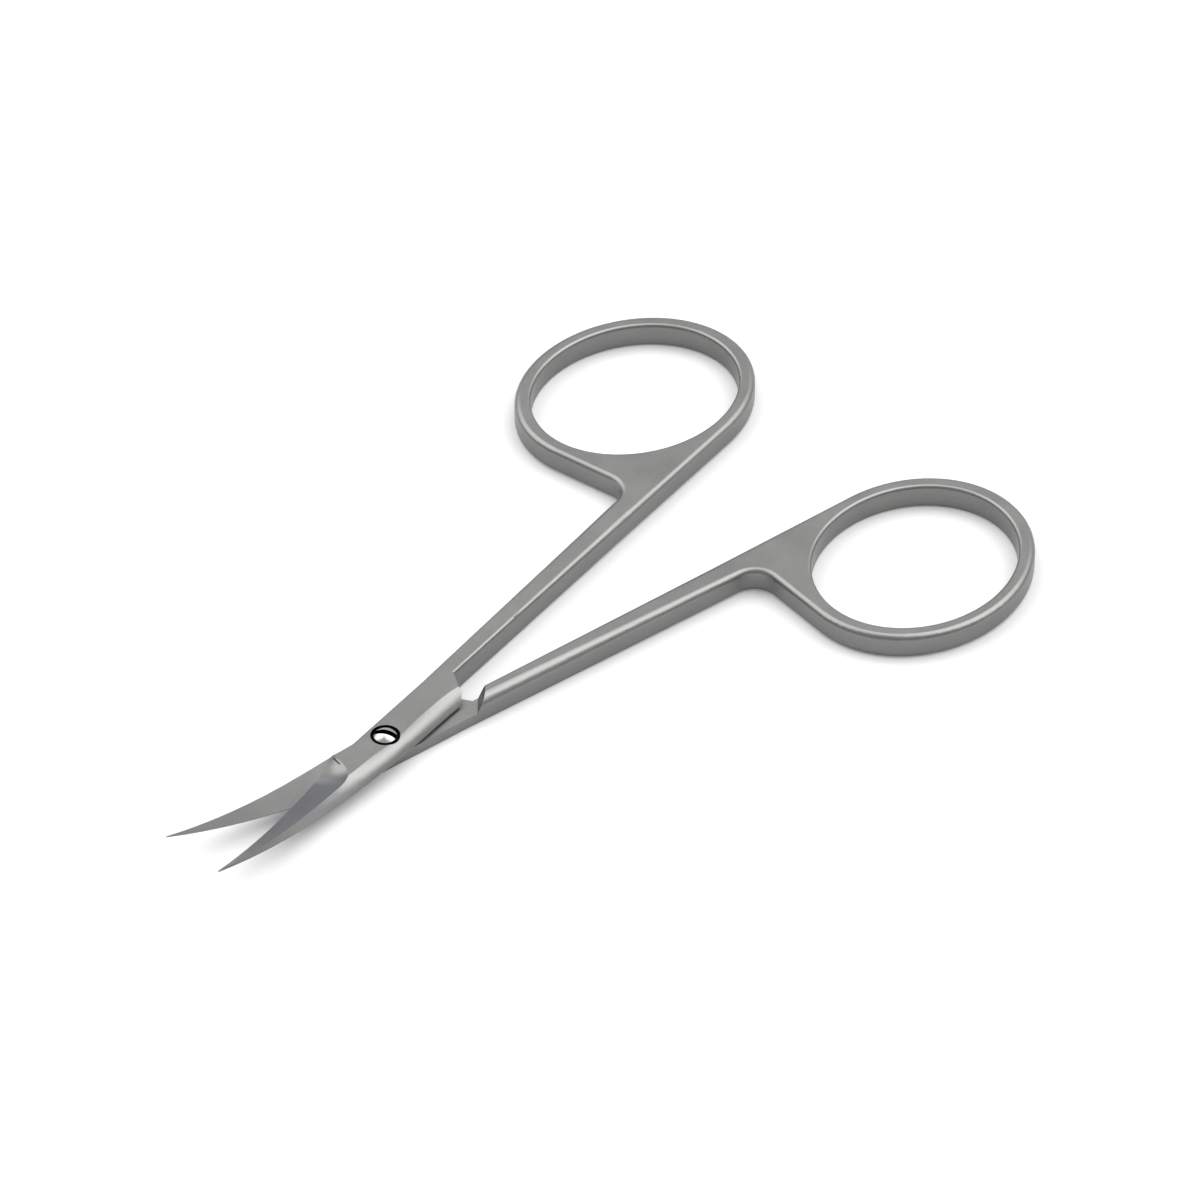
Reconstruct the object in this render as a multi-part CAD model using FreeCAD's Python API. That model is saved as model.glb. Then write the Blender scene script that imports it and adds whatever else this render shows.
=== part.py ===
import FreeCAD, Part
import math
import os

from FreeCAD import Vector

# Cuticle scissors with curved blades. Millimetres and degrees.
# Each half is modelled in its own closed frame: the pivot axis is Z, X runs to the tip, the finger
# ring lies at +Y, the joint plane is z = 0 and the half's outer face looks down. The halves are then
# turned about the pivot to the open rest pose, with the outer face of the lower half at z = 0.

# Whole object
handle_length = 73.2
blade_length = 26.75
thickness = 2.8
joint_clearance = 0.04
rest_turn = 7.9
overrun = 1.5

# Finger ring: an elliptical hole in a narrow band, joined to the shank by a web
hole_long = 23.72
hole_short_share = 0.845
hole_turn = 13.0
band_long = 1.84
band_short = 1.63
ring_edge_radius = 0.62
hole_edge_radius = 0.35
crotch_radius = 2.5

# Shank: straight inner edge, outer edge that grows into a barrel towards the joint
inner_gap = 0.1
shank_width = 2.75
barrel_radius = 1.1
joint_edge_radius = 0.25

# Joint plate, half as thick as the handle. Its notch and the other half's shoulder lean alike and
# nest when closed
plate_outer = 1.92
plate_inner = 2.8
crown_width = 1.52
crown_land = 0.35
crown_bulge = 0.24
inner_relief = 0.25
shoulder_back = 11.6
shoulder_turn = 51.0
shoulder_lean = 28.0
notch_back = 10.95
notch_turn = 52.0
notch_edge_radius = 0.25

# Blade: curved up from bend_start on, hollow-ground from the cutting edge, with a slanting back
blade_root = 3.2
root_inner = 2.4
heel_reach = 5.8
heel_width = 2.65
tip_width = 0.16
bend_start = 8.0
tip_rise = 3.0
edge_land = 0.06
bevel_width = 3.6
bevel_hollow = 0.12
runout_radius = 5.0
runout_back = 0.9
tip_back_land = 0.05
tip_back_width = 1.25
tip_back_bulge = 0.05
tip_relief = 0.02
spine_x_shares = (0, 0.3, 0.62, 1)
spine_y_shares = (1, 0.68, 0.37, 0)
spine_back_shares = (0, 0.9, 1, 1)

# Pivot screw: domed slotted head, plain shoulder that the upper half turns on, threaded end
pivot_diameter = 1.8
thread_diameter = 1.4
head_diameter = 2.4
head_gap = 0.32
head_seat_depth = 0.8
head_rim_drop = 0.03
dome_height = 0.5
slot_width = 0.6
slot_depth = 0.6
slot_turn = 119.3
tail_chamfer = 0.15
running_clearance = 0.03
thread_clearance = 0.02

plate_thickness = thickness / 2
face_gap = joint_clearance / 2
touch = face_gap / 2
up = Vector(0, 0, 1)
ahead = Vector(1, 0, 0)
pivot = Vector(0, 0, 0)

# Places that follow from the sizes above
hole_sin = math.sin(math.radians(hole_turn))
hole_cos = math.cos(math.radians(hole_turn))
hole_short = hole_long * hole_short_share
ring_a = hole_long / 2 + band_long
ring_b = hole_short / 2 + band_short
ring_reach_x = math.hypot(ring_a * hole_cos, ring_b * hole_sin)
ring_reach_y = math.hypot(ring_a * hole_sin, ring_b * hole_cos)
ring_centre = Vector(ring_reach_x - handle_length, inner_gap + ring_reach_y, 0)
web_x = ring_centre.x + ring_reach_x
shank_start = web_x + crotch_radius + ring_edge_radius
notch_slope = math.tan(math.radians(notch_turn))
notch_lean = plate_thickness * math.tan(math.radians(shoulder_lean)) / math.sin(math.radians(notch_turn))
notch_corner = Vector((inner_gap + plate_inner) / notch_slope - notch_back, -plate_inner, 0)
shank_end = notch_corner.x
shank_mid = (inner_gap + plate_outer) / 2
root_inner_corner = Vector(blade_root, -root_inner, 0)
root_outer_corner = Vector(blade_root, plate_outer, 0)
blank_side = -plate_inner - overrun
heel = Vector(heel_reach, heel_width, 0)
tip = Vector(blade_length, tip_width / 2, 0)
bend_run = blade_length - bend_start
bend_radius = (bend_run ** 2 + tip_rise ** 2) / (2 * tip_rise)


def line(start, end):
    return Part.makeLine(start, end)


def arc(start, middle, end):
    return Part.Arc(start, middle, end).toShape()


def prism(edges, bottom, top):
    """A plan outline at z = 0, raised between two heights."""
    outline = Part.Face(Part.Wire(edges))
    outline.translate(up * bottom)
    return outline.extrude(up * (top - bottom))


def polygon(points):
    return [line(start, end) for start, end in zip(points, points[1:] + points[:1])]


def edges_through(shape, places):
    """Edges of a shape that pass through one of the places."""
    spots = [Part.Vertex(place) for place in places]
    return [edge for edge in shape.Edges if min(edge.distToShape(spot)[0] for spot in spots) < touch]


def ellipse(centre, a, b):
    long_end = centre + Vector(hole_cos, hole_sin, 0) * a
    short_end = centre + Vector(-hole_sin, hole_cos, 0) * b
    return Part.Ellipse(long_end, short_end, centre)


def shank_outer(x):
    """Outer edge of the shank, from its full width beside the web to the joint plate."""
    share = (x - shank_start) / (shank_end - shank_start)
    return inner_gap + shank_width + share * (plate_outer - inner_gap - shank_width)


def ring():
    """Finger ring and web up to the start of the shank, with every rim rounded."""
    right_turn = math.atan2(-ring_b * hole_sin, ring_a * hole_cos)
    bottom_turn = math.atan2(ring_b * hole_cos, ring_a * hole_sin) + math.pi
    outer = ellipse(ring_centre, ring_a, ring_b)
    rim = Part.ArcOfEllipse(outer, right_turn, bottom_turn).toShape()
    right = outer.value(right_turn)
    bottom = outer.value(bottom_turn)

    inner_end = Vector(shank_start, inner_gap, 0)
    outer_end = Vector(shank_start, shank_outer(shank_start), 0)
    crotch_centre = Vector(web_x + crotch_radius, outer_end.y + crotch_radius, 0)
    to_shank = Vector(0, -1, 0)
    to_web = Vector(-1, 0, 0)
    to_middle = (to_shank + to_web).normalize()
    crotch = [crotch_centre + way * crotch_radius for way in (to_shank, to_middle, to_web)]

    outline = [
        rim,
        line(bottom, inner_end),
        line(inner_end, outer_end),
        line(outer_end, crotch[0]),
        arc(*crotch),
        line(crotch[2], right),
    ]
    blank = prism(outline, -plate_thickness, plate_thickness)
    rims = [
        edge
        for edge in blank.Edges
        if edge.BoundBox.ZLength < touch and edge.BoundBox.XMin < shank_start - touch
    ]
    blank = blank.makeFillet(ring_edge_radius, rims)
    hole = ellipse(ring_centre, hole_long / 2, hole_short / 2).toShape()
    blank = blank.cut(prism([hole], -plate_thickness, plate_thickness))
    hole_rims = [edge for edge in blank.Edges if edge.isClosed() and edge.BoundBox.ZLength < touch]
    return blank.makeFillet(hole_edge_radius, hole_rims)


def shank_section(x, radii):
    """Rounded section of the shank. The radii go round from the lower inner edge to the upper inner one."""
    low = -plate_thickness
    high = plate_thickness
    outer = shank_outer(x)
    corners = [(inner_gap, low), (outer, low), (outer, high), (inner_gap, high)]
    turns = [(1, 1), (-1, 1), (-1, -1), (1, -1)]
    rounds = []
    for (y, z), (y_in, z_in), radius in zip(corners, turns, radii):
        bite = radius * (1 - math.sqrt(0.5))
        along_y = Vector(x, y + y_in * radius, z)
        along_z = Vector(x, y, z + z_in * radius)
        middle = Vector(x, y + y_in * bite, z + z_in * bite)
        ends = [along_z, middle, along_y] if y_in == z_in else [along_y, middle, along_z]
        rounds.append(ends)
    edges = []
    for here, after in zip(rounds, rounds[1:] + rounds[:1]):
        edges.append(arc(*here))
        edges.append(line(here[2], after[0]))
    return Part.Wire(edges)


def shank():
    """Shank that ends on the joint's leaning shoulder and runs on below it as half a section."""
    at_ring = shank_section(shank_start, [ring_edge_radius] * 4)
    joint_radii = [joint_edge_radius, joint_edge_radius, barrel_radius, joint_edge_radius]
    at_joint = shank_section(shank_end, joint_radii)
    bar = Part.makeLoft([at_ring, at_joint], True, True)

    set_back = thickness * math.tan(math.radians(shoulder_lean))
    reach = handle_length
    above = [
        Vector(0, 0, -face_gap),
        Vector(-set_back, 0, thickness - face_gap),
        Vector(reach, 0, thickness - face_gap),
        Vector(reach, 0, -face_gap),
    ]
    space = Part.Face(Part.Wire(polygon(above))).extrude(Vector(0, reach, 0))
    space.translate(Vector(0, -reach / 2, 0))
    space.rotate(pivot, up, shoulder_turn - 90)
    space.translate(Vector(-shoulder_back, inner_gap, 0))
    return bar.cut(space)


def plate_outline(back, height):
    """Corners of the joint plate at one height, from the notch on. Back is where the notch starts."""
    return [
        Vector(-back, inner_gap, height),
        Vector((inner_gap - blank_side) / notch_slope - back, blank_side, height),
        Vector(blade_root, blank_side, height),
        root_outer_corner + up * height,
        Vector(shank_end, plate_outer, height),
        Vector(shank_end, shank_mid, height),
        Vector(-back, shank_mid, height),
    ]


def rise(radius):
    """Height of the blade's inner face over the joint plane, at a distance from the pivot axis."""
    run = max(0, radius - bend_start)
    return bend_radius - math.sqrt(bend_radius ** 2 - run ** 2)


def bent_sheet(bend):
    """Sheet as thick as the joint plate, bent to a surface of revolution about the pivot axis."""
    near = blade_root / 2
    far = blade_length + overrun
    middle = (bend_start + far) / 2

    def at(radius, height):
        return Vector(radius, 0, height + bend * rise(radius))

    low = -plate_thickness
    high = -face_gap
    profile = [
        line(at(near, low), at(bend_start, low)),
        arc(at(bend_start, low), at(middle, low), at(far, low)),
        line(at(far, low), at(far, high)),
        arc(at(far, high), at(middle, high), at(bend_start, high)),
        line(at(bend_start, high), at(near, high)),
        line(at(near, high), at(near, low)),
    ]
    section = Part.Face(Part.Wire(profile))
    section.rotate(pivot, up, -90)
    return section.revolve(pivot, up, 180)


def back_section(place, bend, share):
    """What the back loses across the half, beside the plate's crown (share 0) or the tip's slant (1)."""
    land = crown_land + share * (tip_back_land - crown_land)
    width = crown_width + share * (tip_back_width - crown_width)
    bulge = crown_bulge + share * (tip_back_bulge - crown_bulge)
    relief = inner_relief + share * (tip_relief - inner_relief)
    inside = bend * rise(place.Length) - face_gap
    far = blank_side - overrun - place.y

    def at(y, z):
        return place + Vector(0, y, inside + z)

    start = at(0, -land)
    end = at(width, face_gap - plate_thickness)
    outwards = Vector(0, end.z - start.z, start.y - end.y).normalize()
    middle = (start + end) * 0.5 + outwards * bulge
    below = end - up * overrun
    corners = [
        below,
        Vector(below.x, place.y + far, below.z),
        at(far, overrun),
        at(relief, overrun),
        at(relief, 0),
        at(0, -relief),
        start,
    ]
    edges = [line(here, after) for here, after in zip(corners, corners[1:])]
    return Part.Wire(edges + [arc(start, middle, end), line(end, below)])


def back(bend):
    """What lies behind the plate's inner edge and the blade's spine, from the notch to past the tip."""
    behind = notch_corner + (notch_corner - root_inner_corner).normalize() * (notch_lean + overrun)
    places = [behind, (behind + root_inner_corner) * 0.5]
    for x_share, y_share in zip(spine_x_shares, spine_y_shares):
        x = blade_root + x_share * (blade_length - blade_root)
        y = tip_width / 2 + y_share * (root_inner - tip_width / 2)
        places.append(Vector(x, -y, 0))
    past_tip = places[-1] + (places[-1] - places[-2]).normalize() * overrun
    places.append(past_tip)
    shares = (0, 0) + spine_back_shares + (1,)
    sections = [back_section(place, bend, share) for place, share in zip(places, shares)]
    return Part.makeLoft(sections, True, False)


def hollow(bend):
    """What the grinding wheel takes off the outer side, from the heel of the cutting edge to the tip."""
    along = (tip - heel).normalize()
    across = Vector(along.y, -along.x, 0)
    length = (tip - heel).Length
    trace = []
    for share in (0, 0.5, 1):
        place = heel + along * (length * share)
        trace.append(place + up * (bend * rise(place.Length) - face_gap))
    path = arc(*trace).Curve
    outwards = (trace[0] - path.Center).normalize() * bend

    edge_depth = plate_thickness - edge_land
    wheel_points = [
        trace[0] + outwards * edge_land,
        trace[0] + across * (bevel_width / 2) + outwards * (edge_land + edge_depth / 2 - bevel_hollow),
        trace[0] + across * bevel_width + outwards * plate_thickness,
    ]
    ground = arc(*wheel_points)
    margin = overrun / ground.Curve.Radius
    wheel = Part.ArcOfCircle(ground.Curve, ground.FirstParameter - margin, ground.LastParameter + margin)
    near_end = wheel.StartPoint
    far_end = wheel.EndPoint
    near_out = near_end + outwards * (thickness + 2 * runout_radius)
    far_out = near_out + across * across.dot(far_end - near_end)
    section = Part.Face(
        Part.Wire(
            [
                wheel.toShape(),
                line(far_end, far_out),
                line(far_out, near_out),
                line(near_out, near_end),
            ]
        )
    )
    bare_height = max(0, runout_radius - edge_depth)
    runout = runout_radius - math.sqrt(runout_radius ** 2 - bare_height ** 2)
    lead = math.degrees((runout_back + runout) / path.Radius)
    sweep = math.degrees((length + overrun) / path.Radius)
    section.rotate(path.Center, path.Axis, -lead)
    tool = section.revolve(path.Center, path.Axis, lead + sweep)
    start = Part.Vertex(wheel_points[1])
    start.rotate(path.Center, path.Axis, -lead)
    return tool.makeFillet(runout_radius, edges_through(tool, [start.Point]))


def front(bend):
    """Joint plate and blade. The blade bends to the half's inner side for bend = 1, to its outer for -1."""
    outside = plate_outline(notch_back + notch_lean, -plate_thickness)
    inside = plate_outline(notch_back, -face_gap)
    plate = Part.makeLoft([Part.Wire(polygon(corners)) for corners in (outside, inside)], True, True)
    outline = [
        root_outer_corner,
        heel,
        tip,
        Vector(blade_length, blank_side, 0),
        Vector(blade_root, blank_side, 0),
    ]
    reach = thickness + tip_rise
    blade = prism(polygon(outline), -reach, reach).common(bent_sheet(bend))
    blank = plate.fuse(blade).removeSplitter()

    notch_rim = (outside[0] + outside[1]) * 0.5
    outer_rim = (outside[3] + outside[4]) * 0.5
    kink = (root_outer_corner + heel) * 0.5
    kink = kink + up * (bend * rise(kink.Length) - plate_thickness)
    blank = blank.makeFillet(joint_edge_radius, edges_through(blank, [outer_rim, kink]))
    blank = blank.makeFillet(notch_edge_radius, edges_through(blank, [notch_rim]))
    return blank.cut(back(bend)).cut(hollow(bend))


def half(bend):
    return ring().fuse([shank(), front(bend)]).removeSplitter()


def upright_cylinder(diameter, bottom, top):
    return Part.makeCylinder(diameter / 2, top - bottom, Vector(0, 0, bottom))


def lower_half():
    """Half with the thread. Its blade bends up to its inner side."""
    shape = half(1)
    thread = upright_cylinder(thread_diameter + 2 * thread_clearance, -thickness, thickness)
    shape = shape.cut(thread)
    shape.translate(up * plate_thickness)
    shape.rotate(pivot, up, -rest_turn)
    return shape


def upper_half():
    """Half with the counterbored bearing hole. It is turned over, and its blade bends to its outer side."""
    shape = half(-1)
    bearing = upright_cylinder(pivot_diameter + 2 * running_clearance, -thickness, thickness)
    seat = upright_cylinder(head_diameter + 2 * head_gap, -thickness, head_seat_depth - plate_thickness)
    shape = shape.cut(bearing).cut(seat)
    shape.rotate(pivot, ahead, 180)
    shape.translate(up * plate_thickness)
    shape.rotate(pivot, up, rest_turn)
    return shape


def pivot_screw():
    tail = 0
    shoulder = plate_thickness - face_gap
    head = thickness - head_seat_depth + running_clearance
    rim = thickness - head_rim_drop
    crest = rim + dome_height
    head_radius = head_diameter / 2
    dome_radius = (head_radius ** 2 + dome_height ** 2) / (2 * dome_height)
    half_way = head_radius / 2
    half_way_drop = dome_radius - math.sqrt(dome_radius ** 2 - half_way ** 2)
    tail_radius = thread_diameter / 2

    def at(radius, height):
        return Vector(radius, 0, height)

    corners = [
        at(0, crest),
        at(0, tail),
        at(tail_radius - tail_chamfer, tail),
        at(tail_radius, tail + tail_chamfer),
        at(tail_radius, shoulder),
        at(pivot_diameter / 2, shoulder),
        at(pivot_diameter / 2, head),
        at(head_radius, head),
        at(head_radius, rim),
    ]
    profile = [line(start, end) for start, end in zip(corners, corners[1:])]
    profile.append(arc(corners[-1], at(half_way, crest - half_way_drop), corners[0]))
    screw = Part.Face(Part.Wire(profile)).revolve(pivot, up, 360)

    slot = Part.makeBox(head_diameter, slot_width, slot_depth + overrun)
    slot.translate(Vector(-head_radius, -slot_width / 2, crest - slot_depth))
    slot.rotate(pivot, up, slot_turn)
    return screw.cut(slot)


os.makedirs("parts", exist_ok=True)
nodes = {
    "lower_half": lower_half(),
    "upper_half": upper_half(),
    "pivot_screw": pivot_screw(),
}
for name, shape in nodes.items():
    print(name, "valid", shape.isValid(), "solids", len(shape.Solids), "volume", round(shape.Volume, 3))
    shape.exportStep("parts/" + name + ".step")
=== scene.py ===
import bpy
import math
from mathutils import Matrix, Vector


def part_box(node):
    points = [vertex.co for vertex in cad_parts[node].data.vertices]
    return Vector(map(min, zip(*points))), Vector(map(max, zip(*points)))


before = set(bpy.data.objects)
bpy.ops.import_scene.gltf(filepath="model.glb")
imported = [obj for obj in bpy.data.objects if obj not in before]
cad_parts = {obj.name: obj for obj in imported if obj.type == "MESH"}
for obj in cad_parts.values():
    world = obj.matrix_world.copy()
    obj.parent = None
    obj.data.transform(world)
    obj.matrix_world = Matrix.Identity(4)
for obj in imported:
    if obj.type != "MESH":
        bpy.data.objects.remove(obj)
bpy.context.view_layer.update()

MM = 0.001
scene = bpy.context.scene
scene.view_settings.view_transform = "Standard"


# Node helpers

def new_material(name):
    material = bpy.data.materials.new(name)
    material.use_nodes = True
    material.node_tree.nodes.clear()
    return material, material.node_tree


def add_node(tree, kind, values=None, **settings):
    node = tree.nodes.new(kind)
    for key, value in settings.items():
        setattr(node, key, value)
    for key, value in (values or {}).items():
        node.inputs[key].default_value = value
    return node


def metal(tree):
    """A metallic shader joined to the material's output."""
    shader = add_node(tree, "ShaderNodeBsdfPrincipled", {"Metallic": 1.0})
    output = add_node(tree, "ShaderNodeOutputMaterial")
    tree.links.new(shader.outputs[0], output.inputs["Surface"])
    return shader


def object_place(tree):
    """Object coordinates in millimetres."""
    place = add_node(tree, "ShaderNodeTexCoord")
    scales = (1 / MM, 1 / MM, 1 / MM)
    scaled = add_node(tree, "ShaderNodeVectorMath", {1: scales}, operation="MULTIPLY")
    tree.links.new(place.outputs["Object"], scaled.inputs[0])
    return scaled.outputs[0]


def object_normal(tree):
    return add_node(tree, "ShaderNodeTexCoord").outputs["Normal"]


def parts_of(tree, vector):
    node = add_node(tree, "ShaderNodeSeparateXYZ")
    tree.links.new(vector, node.inputs[0])
    return node.outputs["X"], node.outputs["Y"], node.outputs["Z"]


def dot(tree, vector, way):
    node = add_node(tree, "ShaderNodeVectorMath", {1: way}, operation="DOT_PRODUCT")
    tree.links.new(vector, node.inputs[0])
    return node.outputs["Value"]


def stretched(tree, vector, turn, scales):
    """Coordinates turned about Z and then scaled along each axis."""
    values = {"Rotation": (0.0, 0.0, -turn), "Scale": scales}
    node = add_node(tree, "ShaderNodeMapping", values)
    tree.links.new(vector, node.inputs["Vector"])
    return node.outputs[0]


def noise(tree, place, scale, detail, roughness):
    values = {"Scale": scale, "Detail": detail, "Roughness": roughness}
    node = add_node(tree, "ShaderNodeTexNoise", values)
    tree.links.new(place, node.inputs["Vector"])
    return node.outputs["Fac"]


def remap(tree, value, band, ends, smooth=False):
    """A band of values spread between two ends, which hold outside the band."""
    node = add_node(
        tree,
        "ShaderNodeMapRange",
        {"From Min": band[0], "From Max": band[1], "To Min": ends[0], "To Max": ends[1]},
        interpolation_type="SMOOTHSTEP" if smooth else "LINEAR",
    )
    tree.links.new(value, node.inputs["Value"])
    return node.outputs["Result"]


def above(tree, value, level, soft):
    """A mask that rises from 0 to 1 around a level."""
    return remap(tree, value, (level - soft, level + soft), (0.0, 1.0), smooth=True)


def below(tree, value, level, soft):
    """A mask that falls from 1 to 0 around a level."""
    return remap(tree, value, (level - soft, level + soft), (1.0, 0.0), smooth=True)


def masked(tree, mask, outside, inside):
    """A value outside a mask that passes to another inside it."""
    return remap(tree, mask, (0.0, 1.0), (outside, inside))


def calculate(tree, operation, *values):
    node = add_node(tree, "ShaderNodeMath", operation=operation)
    for socket, value in zip(node.inputs, values):
        if isinstance(value, (int, float)):
            socket.default_value = value
        else:
            tree.links.new(value, socket)
    return node.outputs[0]


def product(tree, first, *others):
    for other in others:
        first = calculate(tree, "MULTIPLY", first, other)
    return first


def bump(tree, height, strength, depth, normal=None):
    """Relief with a depth in millimetres."""
    node = add_node(tree, "ShaderNodeBump", {"Strength": strength, "Distance": depth * MM})
    tree.links.new(height, node.inputs["Height"])
    if normal is not None:
        tree.links.new(normal, node.inputs["Normal"])
    return node.outputs["Normal"]


def colour(tree, tone, shares):
    """A tone multiplied by the three shares of a colour."""
    node = add_node(tree, "ShaderNodeCombineColor")
    for name, share in zip(("Red", "Green", "Blue"), shares):
        tree.links.new(product(tree, tone, share), node.inputs[name])
    return node.outputs["Color"]


def axis_distance(tree, place, axis=(0.0, 0.0)):
    """Distance on the plan from an upright axis, by default the pivot's."""
    x, y, _ = parts_of(tree, place)
    x = calculate(tree, "SUBTRACT", x, axis[0])
    y = calculate(tree, "SUBTRACT", y, axis[1])
    square = calculate(tree, "ADD", product(tree, x, x), product(tree, y, y))
    return calculate(tree, "SQRT", square)


def line_mask(tree, place, start, end, half_width, soft):
    """A mask along a straight line on the plan."""
    length = math.dist(start, end)
    way = ((end[0] - start[0]) / length, (end[1] - start[1]) / length)
    along = dot(tree, place, (way[0], way[1], 0.0))
    across = dot(tree, place, (-way[1], way[0], 0.0))
    first = start[0] * way[0] + start[1] * way[1]
    side = start[1] * way[0] - start[0] * way[1]
    off = calculate(tree, "ABSOLUTE", calculate(tree, "SUBTRACT", across, side))
    return product(
        tree,
        below(tree, off, half_width, soft),
        above(tree, along, first, half_width),
        below(tree, along, first + length, half_width),
    )


# Places on the object that the finishes and the painted shade follow, in millimetres

HANDLE_THICKNESS = 2.8
SEAT_GAP = 0.32
SEAT_DEPTH = 0.8
SCREW_BOX = [[value / MM for value in corner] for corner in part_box("pivot_screw")]
PLATE_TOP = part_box("upper_half")[0][2] / MM + HANDLE_THICKNESS
HEAD_RADIUS = SCREW_BOX[1][0]
SEAT_RADIUS = HEAD_RADIUS + SEAT_GAP
SEAT_FLOOR = PLATE_TOP - SEAT_DEPTH
SLOT_HALF = 0.3
SLOT_TURN = math.radians(119.3)
HEEL_X = 4.8
EDGE_TURN = math.radians(14.9)
RUNOUT_X = HEEL_X - 1.0
RUNOUT_MIDDLE = (5.82, 0.04)
RUNOUT_BAND = (0.6, 1.7)
# Ends of a painted shadow along a small step at the heel, where the hollow grind ends
MARK_START = (5.86, -1.45)
MARK_END = (6.06, -0.30)
MARK_HALF = 0.055
MARK_SOFT = MARK_HALF * 0.7
MARK_BOTTOM = 1.7


# Masks: a level and its softness, for parts of the normal or for margins in millimetres

FLAT_LEVEL = (0.4, 0.4)
UPWARD_LEVEL = (0.3, 0.1)
GROUND_EDGE_LEVEL = (0.17, 0.08)
GROUND_TIP_LEVEL = (0.20, 0.12)
RUNOUT_TIP_LEVEL = (0.13, 0.10)
RUNOUT_EDGE_LEVEL = (-0.15, 0.10)
HEEL_SOFT = 0.5
HEIGHT_SOFT = 0.1
SEAT_MARGIN = 0.02
SEAT_UNDERCUT = 0.4
SEAT_RIM = 0.03
SLOT_MARGIN = 0.01
HEAD_RIM = 0.03
HEAD_RIM_SOFT = 0.02


# Noises: scale, detail and roughness, and the stretch of those that run in lines

CLOUD = (0.22, 3.0, 0.5)
GRAIN = (5.5, 4.0, 0.62)
LINES = (1.0, 3.0, 0.6)
STREAK_SCALES = (14.0, 0.5, 0.5)
HANDLING_SCALES = (0.12, 5.0, 5.0)
TURNING_SCALE = 14.0
TURNING_DETAIL = 3.0
NOISE_BAND = (0.3, 0.7)
GRAIN_BAND = (0.25, 0.75)
STREAK_BAND = (0.0, 0.8)


# Finishes and painted light: tones and roughness, or the factors on them, and the strengths of
# the relief. The side, run-out, recess, step and slot tones are painted shade, and the bevel's
# red and blue factors are a painted reflection

SATIN_TONE = (0.250, 0.272)
SATIN_ROUGH = (0.36, 0.40)
GRAIN_TONE = (0.94, 1.06)
GRAIN_ROUGH = (-0.03, 0.03)
GRAIN_RELIEF = 0.10
HANDLING_TONE = (0.98, 1.02)
# Painted shade: side faces get a darker tone than flat faces
SIDE_SHADE_TONE = 0.80
STREAK_TONE = (1.0, 0.88)
STREAK_RELIEF = 0.08
GROUND_ROUGH = 0.85
# Painted reflection: a bluish tint on the ground bevel
BEVEL_REFLECTION_RED = (1.0, 0.985)
BEVEL_REFLECTION_BLUE = (0.985, 1.06)
# Painted shade round the run-out, which leaves a soft painted glow at its middle
RUNOUT_GLOW_SHADE = 0.46
# Painted shade: the recess round the screw head is made nearly black
SEAT_SHADE_TONE = 0.08
# Painted shadow along the small step at the heel
STEP_SHADOW_TONE = 0.12
POLISHED_TONE = (0.40, 0.50)
POLISHED_ROUGH = (0.20, 0.30)
POLISHED_SHARES = (1.0, 0.99, 0.97)
TURNING_RELIEF = 0.12
# Painted shade: the screwdriver slot and the side of the head are made nearly black
SLOT_SHADE_TONE = 0.04
RELIEF_DEPTH = 0.02
FLOOR_TONE = 0.78
FLOOR_LIFT = 0.12


# Materials

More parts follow.
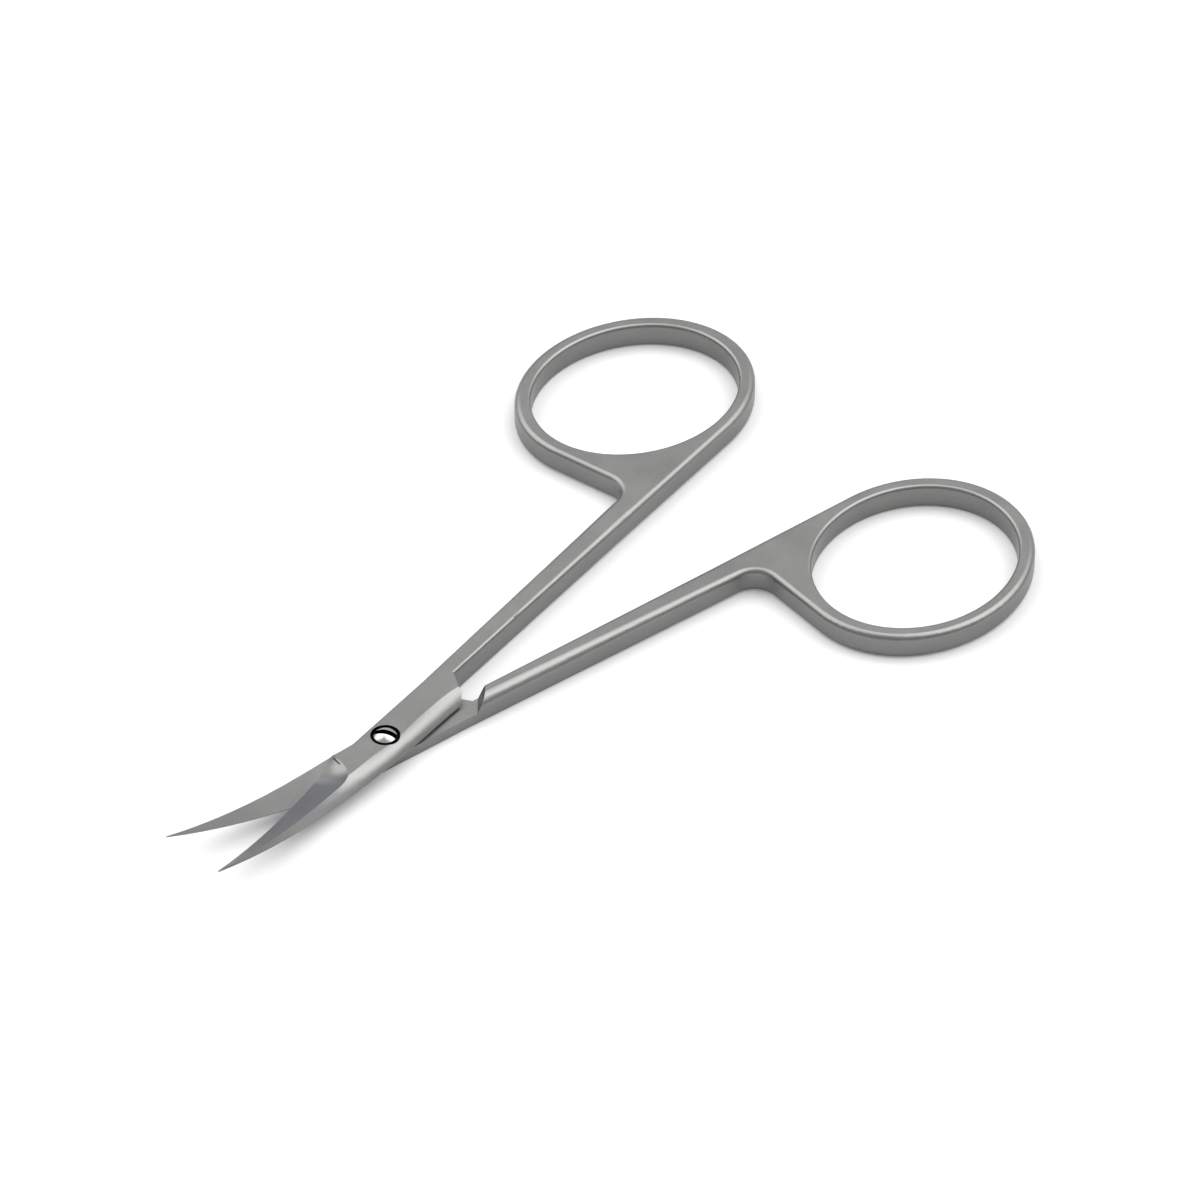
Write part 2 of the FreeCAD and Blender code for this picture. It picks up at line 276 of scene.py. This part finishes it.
def satin_steel():
    """Blasted steel, finely ground on the hollow bevel, with painted light: darker side faces, a
    nearly black recess round the screw head, a painted shadow along a small step at the heel, a
    painted glow on the run-out with shade round it, and a painted bluish reflection on the
    bevel.
    """
    material, tree = new_material("satin_steel")
    shader = metal(tree)
    place = object_place(tree)
    normal = object_normal(tree)
    x, _, z = parts_of(tree, place)
    upward = parts_of(tree, normal)[2]

    cloud = noise(tree, place, *CLOUD)
    grain = noise(tree, place, *GRAIN)
    streaks = noise(tree, stretched(tree, place, EDGE_TURN, STREAK_SCALES), *LINES)
    handling = noise(tree, stretched(tree, place, 0.0, HANDLING_SCALES), *LINES)

    flat = above(tree, calculate(tree, "ABSOLUTE", upward), *FLAT_LEVEL)
    to_edge = dot(tree, normal, (math.sin(EDGE_TURN), -math.cos(EDGE_TURN), 0.0))
    to_tip = dot(tree, normal, (math.cos(EDGE_TURN), math.sin(EDGE_TURN), 0.0))
    ground = product(
        tree,
        above(tree, to_edge, *GROUND_EDGE_LEVEL),
        below(tree, to_tip, *GROUND_TIP_LEVEL),
        above(tree, x, HEEL_X, HEEL_SOFT),
        above(tree, upward, *UPWARD_LEVEL),
    )
    scores = product(tree, ground, streaks)
    # Painted shade: the run-out gets darker away from its middle, so the middle stays as a soft
    # painted glow
    from_runout = axis_distance(tree, place, RUNOUT_MIDDLE)
    runout_glow_shade = product(
        tree,
        above(tree, to_tip, *RUNOUT_TIP_LEVEL),
        above(tree, to_edge, *RUNOUT_EDGE_LEVEL),
        above(tree, x, RUNOUT_X, HEEL_SOFT),
        remap(tree, from_runout, RUNOUT_BAND, (0.0, RUNOUT_GLOW_SHADE), smooth=True),
    )
    # Painted shade in the recess round the screw head
    seat_shade = product(
        tree,
        below(tree, axis_distance(tree, place), SEAT_RADIUS + SEAT_MARGIN, SEAT_MARGIN),
        above(tree, z, SEAT_FLOOR - SEAT_UNDERCUT, HEIGHT_SOFT),
        below(tree, z, PLATE_TOP - SEAT_RIM, SEAT_MARGIN),
    )
    # Painted shadow along the small step at the heel
    heel_step_shadow = product(
        tree,
        line_mask(tree, place, MARK_START, MARK_END, MARK_HALF, MARK_SOFT),
        above(tree, z, MARK_BOTTOM, HEIGHT_SOFT),
    )

    tone = product(
        tree,
        remap(tree, cloud, NOISE_BAND, SATIN_TONE),
        remap(tree, grain, GRAIN_BAND, GRAIN_TONE),
        remap(tree, handling, NOISE_BAND, HANDLING_TONE),
        # painted shade on the side faces
        masked(tree, flat, SIDE_SHADE_TONE, 1.0),
        remap(tree, scores, STREAK_BAND, STREAK_TONE),
        # painted shade round the run-out's painted glow
        masked(tree, runout_glow_shade, 1.0, 0.0),
        # painted shade in the recess round the screw head
        masked(tree, seat_shade, 1.0, SEAT_SHADE_TONE),
        # painted shadow along the small step at the heel
        masked(tree, heel_step_shadow, 1.0, STEP_SHADOW_TONE),
    )
    # painted bluish reflection on the ground bevel
    red = masked(tree, ground, *BEVEL_REFLECTION_RED)
    blue = masked(tree, ground, *BEVEL_REFLECTION_BLUE)
    tree.links.new(colour(tree, tone, (red, 1.0, blue)), shader.inputs["Base Color"])

    rough = calculate(
        tree,
        "ADD",
        remap(tree, cloud, NOISE_BAND, SATIN_ROUGH),
        remap(tree, grain, GRAIN_BAND, GRAIN_ROUGH),
    )
    rough = product(tree, rough, masked(tree, ground, 1.0, GROUND_ROUGH))
    tree.links.new(rough, shader.inputs["Roughness"])
    blasted = bump(tree, grain, GRAIN_RELIEF, RELIEF_DEPTH)
    scored = bump(tree, scores, STREAK_RELIEF, RELIEF_DEPTH, blasted)
    tree.links.new(scored, shader.inputs["Normal"])
    return material


def polished_steel():
    """Turned and polished steel, with painted shade that makes the screwdriver slot and the side
    of the head black.
    """
    material, tree = new_material("polished_steel")
    shader = metal(tree)
    place = object_place(tree)
    radius = axis_distance(tree, place)
    _, _, z = parts_of(tree, place)
    values = {"Scale": TURNING_SCALE, "Detail": TURNING_DETAIL}
    turning = add_node(tree, "ShaderNodeTexNoise", values, noise_dimensions="1D")
    tree.links.new(radius, turning.inputs["W"])
    ring = turning.outputs["Fac"]

    # Painted shade in the screwdriver slot and down the side of the head
    across_slot = dot(tree, place, (-math.sin(SLOT_TURN), math.cos(SLOT_TURN), 0.0))
    off_slot = calculate(tree, "ABSOLUTE", across_slot)
    slot = product(
        tree,
        below(tree, off_slot, SLOT_HALF + SLOT_MARGIN, SLOT_MARGIN),
        above(tree, z, SEAT_FLOOR, HEIGHT_SOFT),
    )
    side = above(tree, radius, HEAD_RADIUS - HEAD_RIM, HEAD_RIM_SOFT)
    slot_and_rim_shade = calculate(tree, "MAXIMUM", slot, side)

    tone = product(
        tree,
        remap(tree, ring, NOISE_BAND, POLISHED_TONE),
        # painted shade in the slot and down the side of the head
        masked(tree, slot_and_rim_shade, 1.0, SLOT_SHADE_TONE),
    )
    tree.links.new(colour(tree, tone, POLISHED_SHARES), shader.inputs["Base Color"])
    rough = remap(tree, ring, NOISE_BAND, POLISHED_ROUGH)
    tree.links.new(rough, shader.inputs["Roughness"])
    relief = bump(tree, ring, TURNING_RELIEF, RELIEF_DEPTH)
    tree.links.new(relief, shader.inputs["Normal"])
    return material


def floor_paper():
    """White paper, lifted a little where it is seen or mirrored."""
    material, tree = new_material("floor_paper")
    white = (FLOOR_TONE, FLOOR_TONE, FLOOR_TONE, 1.0)
    paper = add_node(tree, "ShaderNodeBsdfDiffuse", {"Color": white})
    rays = add_node(tree, "ShaderNodeLightPath").outputs
    seen = calculate(tree, "MAXIMUM", rays["Is Camera Ray"], rays["Is Glossy Ray"])
    seen = calculate(tree, "MAXIMUM", seen, rays["Is Transmission Ray"])
    lift = add_node(tree, "ShaderNodeEmission", {"Color": (1.0, 1.0, 1.0, 1.0)})
    tree.links.new(product(tree, seen, FLOOR_LIFT), lift.inputs["Strength"])
    both = add_node(tree, "ShaderNodeAddShader")
    tree.links.new(paper.outputs[0], both.inputs[0])
    tree.links.new(lift.outputs[0], both.inputs[1])
    output = add_node(tree, "ShaderNodeOutputMaterial")
    tree.links.new(both.outputs[0], output.inputs["Surface"])
    return material


def dress(name, material):
    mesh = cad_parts[name].data
    mesh.materials.clear()
    mesh.materials.append(material)


satin = satin_steel()
dress("lower_half", satin)
dress("upper_half", satin)
dress("pivot_screw", polished_steel())


# Floor

FLOOR_HALF = 4.0
FLOOR_SIGNS = ((-1, -1), (1, -1), (1, 1), (-1, 1))
floor_mesh = bpy.data.meshes.new("floor")
corners = [(x * FLOOR_HALF, y * FLOOR_HALF, 0.0) for x, y in FLOOR_SIGNS]
floor_mesh.from_pydata(corners, [], [(0, 1, 2, 3)])
floor_mesh.materials.append(floor_paper())
floor = bpy.data.objects.new("floor", floor_mesh)
scene.collection.objects.link(floor)


# Light: a room that darkens towards the horizon, with two large soft boxes overhead and two
# pale walls. Each of the four has the way to its middle, its strength, and the cosines at
# which it starts and is full.

SKY_LOW = 0.35
SKY_RISE = 0.25
SOFT_BOXES = (
    ((-0.4545, 0.186, 0.87), 2.5, 0.79, 0.96),
    ((0.128, -0.642, 0.756), 2.1, 0.79, 0.96),
    ((-0.56, 0.61, 0.56), 0.50, 0.86, 0.97),
    ((-0.92, -0.36, 0.15), 0.40, 0.78, 0.96),
)


def studio_room():
    world = bpy.data.worlds.new("studio_room")
    world.use_nodes = True
    tree = world.node_tree
    way = add_node(tree, "ShaderNodeTexCoord").outputs["Generated"]
    height = parts_of(tree, way)[2]
    light = masked(tree, height, SKY_LOW, SKY_LOW + SKY_RISE)
    for middle, strength, rim, core in SOFT_BOXES:
        facing = dot(tree, way, middle)
        box = remap(tree, facing, (rim, core), (0.0, strength), smooth=True)
        light = calculate(tree, "ADD", light, box)
    background = tree.nodes["Background"]
    background.inputs["Color"].default_value = (1.0, 1.0, 1.0, 1.0)
    tree.links.new(light, background.inputs["Strength"])
    return world


scene.world = studio_room()


# Camera at the photograph's viewing angle

CAMERA_PLACE = (0.32992, 0.34467, 0.43078)
CAMERA_AZIMUTH = 133.673
CAMERA_ELEVATION = 40.713
CAMERA_LENS = 192.13
CAMERA_SENSOR = 36.0
CAMERA_NEAR = 0.01
camera_data = bpy.data.cameras.new("camera")
camera_data.lens = CAMERA_LENS
camera_data.sensor_width = CAMERA_SENSOR
camera_data.clip_start = CAMERA_NEAR
camera = bpy.data.objects.new("camera", camera_data)
scene.collection.objects.link(camera)
camera.location = CAMERA_PLACE
tilt = math.radians(90.0 - CAMERA_ELEVATION)
camera.rotation_euler = (tilt, 0.0, math.radians(CAMERA_AZIMUTH))
scene.camera = camera
